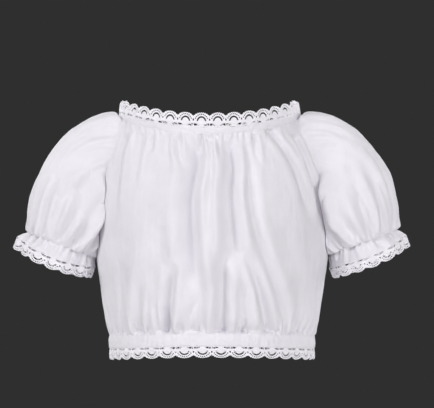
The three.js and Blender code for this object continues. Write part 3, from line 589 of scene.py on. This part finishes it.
ARM_AXIS = np.array([-math.sin(ARM_LEAN), 0, -math.cos(ARM_LEAN)])
ARM_OUTER = np.array([-math.cos(ARM_LEAN), 0, math.sin(ARM_LEAN)])


def cuff_point(side, angle, below, out):
    """A place round the wearer's right arm, below the elastic line and out from the frill's surface."""
    cuff = CUFF[side]
    slope = np.tan(np.radians(frill_value(side, "flare", angle)))
    flare = slope * np.clip(below, 0, frill_value(side, "length", angle)) + out
    across = (np.cos(angle) * (cuff["across"] + flare))[..., None] * ARM_OUTER
    deep = (-np.sin(angle) * (cuff["deep"] + flare))[..., None] * np.array([0, 1, 0])
    return np.array([-cuff["x"], 0, cuff["z"]]) + np.asarray(below)[..., None] * ARM_AXIS + across + deep


def off_centre(angle):
    """How many degrees an angle is away from the outer side, either way."""
    return 180 - np.abs(np.degrees(angle) % 360 - 180)


def clear_of_body(grid, mirror, level):
    """Moves a sleeve's places out where they are nearer to the body's plain surface than the gap there."""
    gap = BODY_GAP * np.clip(level / BODY_GAP_START, 0, 1)
    height = np.clip(grid[..., 2], EDGE_BOTTOM, EDGE_TOP)
    middle, half_width = body_at("shift", height) * mirror, body_at("half_width", height)
    depth = np.where(grid[..., 1] < 0, body_at("front", height), body_at("back", height))
    x, y = (grid[..., 0] - middle) / half_width, grid[..., 1] / depth
    far = np.hypot(x, y)
    off = (far - 1) / (np.hypot(x / half_width, y / depth) / far)
    out = unit(np.stack([x / half_width, y / depth, 0 * x], -1))
    return grid + out * np.clip(gap - off, 0, None)[..., None]


def sleeve_base(name, mirror, angle, level):
    """A sleeve's plain surface, on curves from the armhole to the cuff, and the armhole that it starts at."""
    puff = PUFF[name]
    loop = resampled(armhole(mirror), len(angle))
    start, out, on = loop[:, 0], loop[:, 1], loop[:, 2]
    outer = (1 + np.cos(angle)) / 2

    def value(key):
        return lerp(*puff[key], outer ** PUFF_POWER[key])[:, None]

    reach = value("reach")
    at_shoulder = hump((off_centre(angle) - SEAM_TURN["at"]) / SEAM_TURN["half"])
    turn = lerp(*puff["turn"], at_shoulder)[:, None]
    leave = out * reach * np.cos(turn) + on * reach * np.sin(turn) + value("rise") * [0, 0, 1]
    below = np.full(len(angle), -CUFF_GAP)
    end = cuff_point(name, angle, below, 0)
    arrive = cuff_point(name, angle, below, value("swell")[:, 0]) - ARM_AXIS * value("hang")
    v = level[..., None]
    base = start * (1 - v) ** 3 + (start + leave) * 3 * v * (1 - v) ** 2
    base = base + arrive * 3 * v * v * (1 - v) + end * v**3
    crest = puff["shoulder"] * outer[None, :] ** 6 * (level / SHOULDER_CREST)
    base[..., 2] += crest * np.exp(1 - level / SHOULDER_CREST)
    bulge = ease(1.5 - 1.5 * np.abs(np.degrees(angle) - BULGE["turn"]) / BULGE["half"])[None, :]
    base[..., 1] -= BULGE["forward"] * bulge * (1 - level) ** 2 * (1 - np.exp(-level / BULGE["start"]))
    base[..., 0] += BULGE["inward"] * bulge * np.sin(np.pi * level**0.55)
    return clear_of_body(base, mirror, level), start, out, on


def sleeve_push(name, base, angle, level):
    """How far a sleeve's folds, gathers and crumple push its cloth in."""
    seed = SLEEVE_SEEDS[name]
    length = length_along(base, 0)
    around = np.linalg.norm(np.roll(base, -1, 1) - base, axis=2).sum(1)[:, None]
    turn = np.degrees(angle)[None, :]
    share = turn / 360
    push = np.zeros(base.shape[:2])
    for turn_top, turn_end, first, last, depth, half in SLEEVE_FOLDS[name]:
        s = np.clip((level - first) / (last - first), 0, 1)
        off = (turn - lerp(turn_top, turn_end, s) + 180) % 360 - 180
        push += depth * np.sin(np.pi * s) ** 0.8 * trough(off / half)
    push += gathered("cuff", share, around, length[-1:] - length, CUFF_SEEDS[name], True)
    on_neck = np.clip(1 - np.abs((turn + 180) % 360 - 180) / NECK_REACH, 0, 1) ** 0.5
    push += on_neck * gathered("shoulder", share, around, length, seed + 5, True)
    push += 0.25 * (1 - on_neck) * gathered("shoulder", share, around, length * 2, seed + 7, True)
    push += crumple(base, seed)
    return push * np.clip(length / SEAM_CALM, 0, 1)


def sleeve_grid(name, mirror):
    """A sleeve's cloth, as on the wearer's right, from a tuck behind the armhole down to the cuff."""
    angle = turns(SLEEVE_STEPS["columns"])
    t = np.linspace(0, 1, SLEEVE_STEPS["rows"] + 1)
    level = lerp(t, 0.5 - 0.5 * np.cos(np.pi * t), ROW_CROWDING)[:, None]
    base, start, out, on = sleeve_base(name, mirror, angle, level)
    push = sleeve_push(name, base, angle, level)
    grid = clear_of_body(base - grid_normals(base, True) * push[..., None], mirror, level)
    tuck = start - on * TUCK["back"] - out * TUCK["inward"]
    return np.concatenate([tuck[None], grid])


def cuff_out(name, angle, below):
    """How far the frill's ruffles and gathers move a place of the cuff out."""
    around = math.pi * (CUFF[name]["across"] + CUFF[name]["deep"])
    t = np.clip(below / frill_value(name, "length", angle), 0, 1)
    ruffle = RUFFLE * np.sin(angle * SCALLOPS["cuff"] / 2) * t
    puckers = gathered("cuff", angle / math.tau, around, np.abs(below), CUFF_SEEDS[name], True)
    return ruffle - PUCKER * puckers


def cuff_grid(name):
    """A cuff's elastic line and frill, as on the wearer's right."""
    angle = turns(CUFF_STEPS["columns"])[None, :]
    t = np.linspace(0, 1, CUFF_STEPS["rows"] + 1)[:, None]
    below = lerp(-CUFF_TOP, frill_value(name, "length", angle), t)
    groove = GROOVE["depth"] * hump((below - GROOVE["below"]) / GROOVE["half"]) + GROOVE["edge"] * (t == 0)
    return cuff_point(name, angle, below, cuff_out(name, angle, below) - groove)


def band_grid(ring, steps, top):
    """A ring of cloth down from its top edge, swelling in the middle, with fine wrinkles across it."""
    height, wrinkle, seed = ring["height"], ring["wrinkle"], ring["seed"]
    angle = turns(steps["columns"])[None, :]
    t = np.linspace(0, 1, steps["rows"] + 1)[:, None]
    point, out = ellipse(ring["half_width"], ring["front"], ring["back"], angle + 0 * t)
    around = np.stack([np.cos(angle), np.sin(angle)], -1) * WRINKLES["radius"] + 0 * t[..., None]
    down = (t * height * WRINKLES["stretch"])[..., None] + 0 * around[..., :1]
    stretched = np.concatenate([around, down], -1)
    middle = np.sin(np.pi * t)
    lift = ring["crown"] * middle**0.7
    lift = lift + wrinkle * uneven(stretched, WRINKLES["fine"], seed) * (0.35 + 0.65 * middle)
    lift = lift + 0.5 * wrinkle * uneven(stretched, WRINKLES["broad"], seed + 1)
    point = point + out * lift[..., None]
    point[..., 0] += ring["shift"]
    ripple = 0.6 * wrinkle * uneven(stretched, WRINKLES["edge"], seed + 2) * (2 * t - 1)
    point[..., 2] = top(point[..., 0]) - height * t + ripple
    return point


def on_arc(middle, radius, degrees):
    a = math.radians(degrees)
    return (middle[0] + radius * math.cos(a), middle[1] + radius * math.sin(a))


def lace_pattern():
    """The outline and the holes of one repeat of lace, as places along its foot and above it."""
    half, notch, width = LACE["pitch"] / 2, LACE["notch"], LACE["width"]
    eye, corner = LACE_EYE["half"], LACE_EYE["corner"]
    low, high = LACE_EYE["height"] - eye * LACE_EYE["tall"], LACE_EYE["height"] + eye * LACE_EYE["tall"]
    side = [(half, 0), (half, low), (half - eye, low + corner), (half - eye, high - corner), (half, high)]
    crown = []
    steps = LACE["picots"] * PICOT_STEPS
    for i in range(steps + 1):
        t = 1 - 2 * i / steps
        bump = abs(math.sin(math.pi * LACE["picots"] * i / steps)) ** 0.7 * LACE["picot"]
        height = notch + (width - LACE["picot"] - notch) * (1 - t * t) ** LACE["round"]
        lean = t * LACE["picot_lean"] * bump
        crown.append((t * half + (lean if 0 < i < steps else 0), height + bump))
    outline = side + crown + [(-x, y) for x, y in reversed(side)]

    centre = (0, LACE["centre"])
    start, end = LACE_CRESCENT["start"], LACE_CRESCENT["end"]
    crescent = [on_arc(centre, LACE_CRESCENT["outer"], d) for d in np.linspace(start, end, 13)]
    crescent += [on_arc(centre, LACE_CRESCENT["inner"], d) for d in np.linspace(end - 10, start + 10, 11)]
    holes = [crescent, LACE_SLIT, [(-x, y) for x, y in reversed(LACE_SLIT)]]
    for degrees in np.linspace(LACE_DOTS["start"], LACE_DOTS["end"], LACE_DOTS["count"]):
        middle = on_arc(centre, LACE_DOTS["radius"], degrees)
        holes.append([on_arc(middle, LACE_DOTS["size"], d) for d in range(30, 390, 60)])
    return outline, holes


def inside(polygon, x, y):
    """Whether a place is inside a polygon, by the sides that a line from it crosses."""
    hit = False
    for (x0, y0), (x1, y1) in zip(polygon, polygon[1:] + polygon[:1]):
        if (y0 > y) != (y1 > y) and x < (x1 - x0) * (y - y0) / (y1 - y0) + x0:
            hit = not hit
    return hit


def lace_faces():
    """The points and the triangles of one repeat."""
    outline, holes = lace_pattern()
    points = [Vector(p) for loop in [outline, *holes] for p in loop]
    edges, start = [], 0
    for loop in [outline, *holes]:
        edges += [(start + i, start + (i + 1) % len(loop)) for i in range(len(loop))]
        start += len(loop)
    spare = [Vector((x, y)) for x in LACE_SPARE["along"] for y in LACE_SPARE["up"]]
    spare = [p for p in spare if inside(outline, *p) and not any(inside(h, *p) for h in holes)]
    found, _, triangles, *_ = delaunay_2d_cdt(points + spare, edges, [], 0, 1e-5)
    kept = []
    for face in triangles:
        x, y = np.mean([found[i] for i in face], axis=0)
        if inside(outline, x, y) and not any(inside(hole, x, y) for hole in holes):
            kept.append(tuple(face))
    return np.array([tuple(p) for p in found]), kept


LACE_POINTS, LACE_TRIANGLES = lace_faces()


def lace_strip(name, repeats, place, material):
    """A strip of lace. place(share, height) gives points and normals, where share counts repeats."""
    known, ids = {}, {}
    for i in range(repeats):
        for k, (x, y) in enumerate(LACE_POINTS):
            key = (round((i + 0.5) * LACE["pitch"] + x, 2), round(y, 3))
            ids[i, k] = known.setdefault(key, len(known))
    flat = np.array(list(known))
    share = np.clip(flat[:, 0] / LACE["pitch"], LACE_END, repeats - LACE_END)
    point, normal = place(share, flat[:, 1])
    vertices = np.concatenate([point + normal * LACE_WALL / 2, point - normal * LACE_WALL / 2])
    back = len(flat)
    triangles = [tuple(ids[i, k] for k in face) for i in range(repeats) for face in LACE_TRIANGLES]
    faces = [turned for a, b, c in triangles for turned in ((a, b, c), (c + back, b + back, a + back))]
    sides = dict.fromkeys(pair for a, b, c in triangles for pair in ((a, b), (b, c), (c, a)))
    for a, b in sides:
        if (b, a) not in sides:
            faces += [(b, a, a + back), (b, a + back, b + back)]
    faces = np.array(faces)
    return make_mesh(name, vertices, faces, flat[faces % back], material)


def lace_foot(kind, x):
    """The height of the foot of the lace at the neck or the hem."""
    edge = neck_top(x) if kind == "neck" else hem_top(x) - HEM["height"]
    return edge + FOOT[kind]


def ring_lace(kind, first):
    """Places the scallops of the neck or the hem, each leaning and waving a little in its own way."""
    standing, scallops = STANDING[kind], SCALLOPS[kind]
    ring, up = standing["ring"], standing["up"]
    random = np.random.default_rng(standing["seed"])
    leans = random.uniform(-1, 1, scallops)
    waves = random.uniform(0.3, 1.6, scallops)

    def place(share, height):
        turn = (first + share) / scallops
        angle = math.pi * (2 * turn - 0.5)
        sin = np.abs(np.sin(angle))
        rise = height / LACE["width"]
        places = turn * scallops - 0.5
        i = np.floor(places).astype(int)
        t = ease(places - i)
        tilt, wave = (lerp(v[i % scallops], v[(i + 1) % scallops], t) for v in (leans, waves))
        waver = (0.5 + standing["spread"] * sin**2) * (1.6 * tilt + wave * np.cos(2 * np.pi * share))
        stand = lerp(*standing["lean"], sin**6)
        away = rise * (stand + waver) + 0.4 * np.sin(np.pi * rise)
        point, out = ellipse(ring["half_width"], ring["front"], ring["back"], angle)
        point[..., 0] += ring["shift"]
        point[..., 2] = lace_foot(kind, point[..., 0]) + up * DROP[kind] * rise
        return point + out * away[:, None], -up * out

    return place


def cuff_lace(name, first, mirror):
    """Places the scallops of a cuff below its frill, on the frill's own waves."""

    def at(angle, below):
        length = frill_value(name, "length", angle)
        out = cuff_out(name, angle % math.tau, np.minimum(length + below, length))
        return cuff_point(name, angle, length + below, out) * [mirror, 1, 1]

    def place(share, height):
        angle = math.tau * (first + share + 0.5) / SCALLOPS["cuff"]
        below = -FOOT["cuff"] + height * DROP["cuff"] / LACE["width"]
        point = at(angle, below)
        along = at(angle + 0.05, below) - at(angle - 0.05, below)
        return point, unit(np.cross(along, at(angle, below + 1) - point))

    return place


def stitch_line(name, line, normals, material):
    """A row of thread stitches along a closed line, each a small flat bead of thread."""
    ring, ways = (np.concatenate([values, values[:1]]) for values in (line, normals))
    length = length_along(ring, 0)
    section = [(math.cos(a), math.sin(a)) for a in turns(BEAD_SIDES)]
    vertices, faces = [], []

    def value(values, stitch):
        return on_line(values, length, STITCH["pitch"] * stitch)

    for i in range(int(length[-1] / STITCH["pitch"])):
        first, last = value(ring, i + STITCH["start"]), value(ring, i + STITCH["end"])
        up = unit(value(ways, i + 0.5))
        side = np.cross(up, unit(last - first))
        start = len(vertices)
        for t, radius in STITCH_BEAD:
            middle = lerp(first, last, t) + up * (STITCH["lift"] + STITCH["arch"] * math.sin(math.pi * t))
            for cos, sin in section:
                vertices.append(middle + side * radius * cos + up * radius * sin * STITCH["flat"])
        for row in range(len(STITCH_BEAD) - 1):
            for k in range(BEAD_SIDES):
                a, b = start + row * BEAD_SIDES + k, start + row * BEAD_SIDES + (k + 1) % BEAD_SIDES
                faces.append((a, b, b + BEAD_SIDES, a + BEAD_SIDES))
    uvs = np.tile([[0, 0], [1, 0], [1, 1], [0, 1]], (len(faces), 1))
    return make_mesh(name, vertices, faces, uvs, material)


class Nodes:
    """A material's node tree, with short calls for its nodes and links."""

    def __init__(self, name, roughness, sheen):
        self.material = bpy.data.materials.new(name)
        self.material.use_nodes = True
        self.tree = self.material.node_tree
        self.shader = self.tree.nodes["Principled BSDF"]
        self.shader.inputs["Roughness"].default_value = roughness
        self.shader.inputs["Sheen Weight"].default_value = sheen
        self.shader.inputs["Sheen Roughness"].default_value = 0.5
        self.shader.inputs["Specular IOR Level"].default_value = 0.25

    def add(self, kind, **values):
        node = self.tree.nodes.new(kind)
        for key, value in values.items():
            if key in node.bl_rna.properties:
                setattr(node, key, value)
            else:
                node.inputs[key].default_value = value
        return node

    def link(self, source, target):
        self.tree.links.new(source, target)

    def place(self):
        return self.add("ShaderNodeTexCoord").outputs["Object"]

    def threads_place(self):
        """Places along and across the threads, in millimetres, and both of them apart."""
        uv = self.add("ShaderNodeUVMap", uv_map="cloth").outputs["UV"]
        split = self.add("ShaderNodeSeparateXYZ")
        self.link(uv, split.inputs[0])
        return uv, split.outputs["X"], split.outputs["Y"]

    def maths(self, operation, a, b=0.0):
        node = self.add("ShaderNodeMath", operation=operation)
        for socket, value in zip(node.inputs, (a, b)):
            if isinstance(value, (int, float)):
                socket.default_value = value
            else:
                self.link(value, socket)
        return node.outputs[0]

    def noise(self, coordinates, scale, detail=2.0):
        node = self.add("ShaderNodeTexNoise", Scale=scale, Detail=detail, Roughness=0.5)
        self.link(coordinates, node.inputs["Vector"])
        return node.outputs["Fac"]

    def tint(self, fac, dark, light):
        """Base colour from dark to light in soft patches."""
        ramp = self.add("ShaderNodeValToRGB")
        ramp.color_ramp.elements[0].color = (*dark, 1)
        ramp.color_ramp.elements[1].color = (*light, 1)
        ramp.color_ramp.elements[0].position = 0.3
        ramp.color_ramp.elements[1].position = 0.7
        self.link(fac, ramp.inputs["Fac"])
        self.link(ramp.outputs["Color"], self.shader.inputs["Base Color"])

    def rough(self, least, spread, scale):
        """Roughness from least up, by as much as spread."""
        patches = self.noise(self.place(), scale)
        value = self.maths("ADD", self.maths("MULTIPLY", patches, spread), least)
        self.link(value, self.shader.inputs["Roughness"])

    def bump(self, height, distance, strength, before=None):
        node = self.add("ShaderNodeBump", Distance=distance, Strength=strength)
        self.link(height, node.inputs["Height"])
        if before:
            self.link(before, node.inputs["Normal"])
        return node.outputs["Normal"]


def shaded(colour, share):
    return tuple(channel * share for channel in colour)


def woven(name, colour, roughness, crinkle):
    """Plain-weave cotton: uneven threads over and under each other, with soft creases between the folds."""
    nodes = Nodes(name, roughness, 0.25)
    place = nodes.place()
    uv, across, down = nodes.threads_place()
    drift = nodes.maths("MULTIPLY", nodes.noise(uv, 0.35), THREAD_DRIFT)

    def threads(along):
        phase = nodes.maths("MULTIPLY", along, math.tau / THREAD_PITCH)
        return nodes.maths("SINE", nodes.maths("ADD", phase, drift))

    warp, weft = threads(across), threads(down)
    weave = nodes.maths("ADD", nodes.maths("MULTIPLY", warp, weft), nodes.maths("MULTIPLY", warp, 0.3))
    crease = nodes.add("ShaderNodeMapping")
    crease.inputs["Scale"].default_value = CREASE_STRETCH
    nodes.link(place, crease.inputs["Vector"])
    soft = nodes.bump(nodes.noise(crease.outputs[0], 90, 3.0), distance=0.0022 * crinkle, strength=0.55)
    fine = nodes.bump(nodes.noise(place, 330), distance=0.0004, strength=0.4, before=soft)
    final = nodes.bump(weave, distance=0.00012, strength=0.45, before=fine)
    nodes.link(final, nodes.shader.inputs["Normal"])
    nodes.tint(nodes.noise(place, 26, 4.0), shaded(colour, 0.955), colour)
    nodes.rough(roughness - 0.06, spread=0.12, scale=60)
    return nodes.material


def lace_material(name, colour):
    """Cotton lace: rounds of thread about each scallop's middle, and cross threads between them, with painted
    shade that darkens the colour between the threads.
    """
    nodes = Nodes(name, 0.85, 0.3)
    place = nodes.place()
    _, across, down = nodes.threads_place()
    repeat = nodes.maths("FRACT", nodes.maths("DIVIDE", across, LACE["pitch"]))
    along = nodes.maths("MULTIPLY", nodes.maths("SUBTRACT", repeat, 0.5), LACE["pitch"])
    height = nodes.maths("SUBTRACT", down, LACE["centre"])
    along_square = nodes.maths("POWER", nodes.maths("ABSOLUTE", along), 2)
    radius = nodes.maths("SQRT", nodes.maths("ADD", along_square, nodes.maths("MULTIPLY", height, height)))
    turn = nodes.maths("ARCTAN2", height, along)
    rounds = nodes.maths("SINE", nodes.maths("MULTIPLY", radius, math.tau / LACE_THREADS["pitch"]))
    spokes = nodes.maths("SINE", nodes.maths("MULTIPLY", turn, LACE_THREADS["spokes"]))
    threads = nodes.maths("ADD", rounds, nodes.maths("MULTIPLY", spokes, 0.7))
    relief = nodes.bump(threads, distance=0.0003, strength=0.4)
    final = nodes.bump(nodes.noise(place, 900), distance=0.0004, strength=0.5, before=relief)
    nodes.link(final, nodes.shader.inputs["Normal"])
    # Painted shade: the colour is darker in the grooves between the rounds and spokes of thread, over soft
    # random patches of tone.
    tone_and_painted_shade = nodes.maths("ADD", nodes.maths("MULTIPLY", threads, 0.16), nodes.noise(place, 120, 3.0))
    nodes.tint(tone_and_painted_shade, shaded(colour, 0.93), colour)
    nodes.rough(0.78, spread=0.15, scale=200)
    return nodes.material


def thread_material(name, colour):
    """Twisted sewing thread."""
    nodes = Nodes(name, 0.6, 0.2)
    place = nodes.place()
    twist = nodes.add("ShaderNodeTexWave", Scale=900.0, Distortion=1.5)
    nodes.link(place, twist.inputs["Vector"])
    relief = nodes.bump(twist.outputs["Fac"], distance=0.0001, strength=0.6)
    nodes.link(relief, nodes.shader.inputs["Normal"])
    nodes.tint(nodes.noise(place, 300), shaded(colour, 0.9), colour)
    return nodes.material


cotton = woven("white cotton", (0.815, 0.79, 0.845), roughness=0.82, crinkle=1.0)
band_cotton = woven("band cotton", (0.825, 0.80, 0.855), roughness=0.8, crinkle=0.5)
lace_cotton = lace_material("cotton lace", (0.915, 0.89, 0.945))
thread = thread_material("sewing thread", (0.82, 0.82, 0.85))


def dress(piece, node):
    """Puts a piece in the place of its solid, which it hides, and attaches it to the root."""
    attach(piece, "root")
    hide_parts(node)


def on_its_side(grid, mirror):
    """A grid made for the wearer's right, facing out, or mirrored to the left."""
    return grid[:, ::-1] if mirror > 0 else grid * [-1, 1, 1]


def edge_stitches(name, grid, rows):
    """Rows of stitches on a strip, on its rows of points."""
    normals = grid_normals(grid, True)
    lines = []
    for i, row in enumerate(rows):
        line = grid[row] + normals[row] * BAND_WALL / 2
        lines.append(stitch_line(f"{name}_{i + 1}", line, normals[row], thread))
        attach(lines[-1], "root")
    return lines


for name, side, folds in (("front", -1, FRONT_FOLDS), ("back", 1, BACK_FOLDS)):
    grid = panel_grid(side, folds, PANEL_SEEDS[name])
    panel = shell(f"{name}_cloth", grid[:, ::-1] if side < 0 else grid, CLOTH_WALL, False, cotton)
    dress(panel, f"{name}_panel")

for name, mirror in (("right", 1), ("left", -1)):
    sleeve_place = on_its_side(sleeve_grid(name, mirror), mirror)
    sleeve = shell(f"sleeve_cloth_{name}", sleeve_place, CLOTH_WALL, True, cotton)
    dress(sleeve, f"sleeve_{name}")
    cuff = shell(f"cuff_cloth_{name}", on_its_side(cuff_grid(name), mirror), CLOTH_WALL, True, cotton)
    dress(cuff, f"cuff_{name}")
    for half, first in (("front", 0), ("back", SCALLOPS["cuff"] / 2)):
        place = cuff_lace(name, first, mirror)
        lace = lace_strip(f"cuff_edging_{name}_{half}", SCALLOPS["cuff"] // 2, place, lace_cotton)
        dress(lace, f"cuff_lace_{name}_{half}")

# The casing and the band: place, name, ring, mesh steps, top edge and the rows of points that have stitches.
STRIPS = (
    ("neck", "casing", NECK, CASING_STEPS, neck_top, [-2]),
    ("hem", "band", HEM, BAND_STEPS, hem_top, [1, -2]),
)
for kind, strip, ring, steps, top, stitched_rows in STRIPS:
    grid = band_grid(ring, steps, top)
    cloth = shell(f"{kind}_{strip}_cloth", grid, BAND_WALL, True, band_cotton)
    stitches = edge_stitches(f"{strip}_stitches", grid, stitched_rows)
    dress(cloth, f"{kind}_{strip}")

for half, start in (("front", 0), ("back", 0.5)):
    for kind, strip, *_ in STRIPS:
        place = ring_lace(kind, SCALLOPS[kind] * start)
        lace = lace_strip(f"{kind}_edging_{half}", SCALLOPS[kind] // 2, place, lace_cotton)
        dress(lace, f"{kind}_lace_{half}")

# The view and the studio, in metres. The image is 434 pixels wide, at 1.4 mm of the blouse for each.
FLOOR = dict(height=-0.9, radius=1.6, sides=64)
CAMERA_DISTANCE = 3.0
CAMERA_RISE = math.radians(-2)
CAMERA_TARGET = Vector((0.007, 0, -0.1246))
VIEW_WIDTH = 434 * 1.4 * MM
SENSOR = 36
BACKGROUND = (0.0284, 0.0284, 0.0284, 1)

# Soft round lights: name, place, size across and power in watts.
LIGHTS = [
    ("left", (-2.5, -1.8, 0.9), 1.4, 50),
    ("right", (2.2, -2.1, -0.1), 1.8, 32),
    ("front", (-0.6, -3.0, 1.5), 1.2, 32),
    ("low front", (1.0, -3.0, -0.6), 2.0, 26),
    ("back left", (-1.8, 2.6, 0.8), 1.6, 24),
    ("back right", (2.0, 2.4, 0.3), 1.6, 20),
    ("rim left", (-1.9, 0.9, 0.5), 0.9, 10),
    ("rim right", (2.0, 0.9, 0.4), 0.9, 12),
    ("top", (0, 0.2, 2.0), 1.2, 14),
]


def add_light(name, place, size, power):
    light = bpy.data.lights.new(name, "AREA")
    light.shape = "DISK"
    light.size = size
    light.energy = power
    lamp = in_scene(name, light)
    lamp.location = place
    lamp.rotation_euler = (CAMERA_TARGET - Vector(place)).to_track_quat("-Z", "Y").to_euler()


def add_floor():
    """A pale round floor."""
    radius = FLOOR["radius"]
    rim = [(radius * math.cos(a), radius * math.sin(a), FLOOR["height"]) for a in turns(FLOOR["sides"])]
    mesh = bpy.data.meshes.new("floor")
    mesh.from_pydata(rim, [], [tuple(range(FLOOR["sides"]))])
    nodes = Nodes("pale floor", 0.8, 0.0)
    nodes.tint(nodes.noise(nodes.place(), 3.0), (0.58, 0.58, 0.58), (0.62, 0.62, 0.62))
    mesh.materials.append(nodes.material)
    return in_scene("floor", mesh)


def add_camera():
    """A camera before the blouse that looks up at it a little."""
    lens = bpy.data.cameras.new("camera")
    lens.sensor_width = SENSOR
    lens.lens = SENSOR * CAMERA_DISTANCE / VIEW_WIDTH
    camera = in_scene("camera", lens)
    direction = Vector((0, -math.cos(CAMERA_RISE), math.sin(CAMERA_RISE)))
    camera.location = CAMERA_TARGET + direction * CAMERA_DISTANCE
    camera.rotation_euler = (-direction).to_track_quat("-Z", "Y").to_euler()
    return camera


for light_values in LIGHTS:
    add_light(*light_values)

world = bpy.data.worlds.new("studio")
world.use_nodes = True
world.node_tree.nodes["Background"].inputs["Color"].default_value = BACKGROUND
bpy.context.scene.world = world
bpy.context.scene.view_settings.view_transform = "Standard"

add_floor()
bpy.context.scene.camera = add_camera()
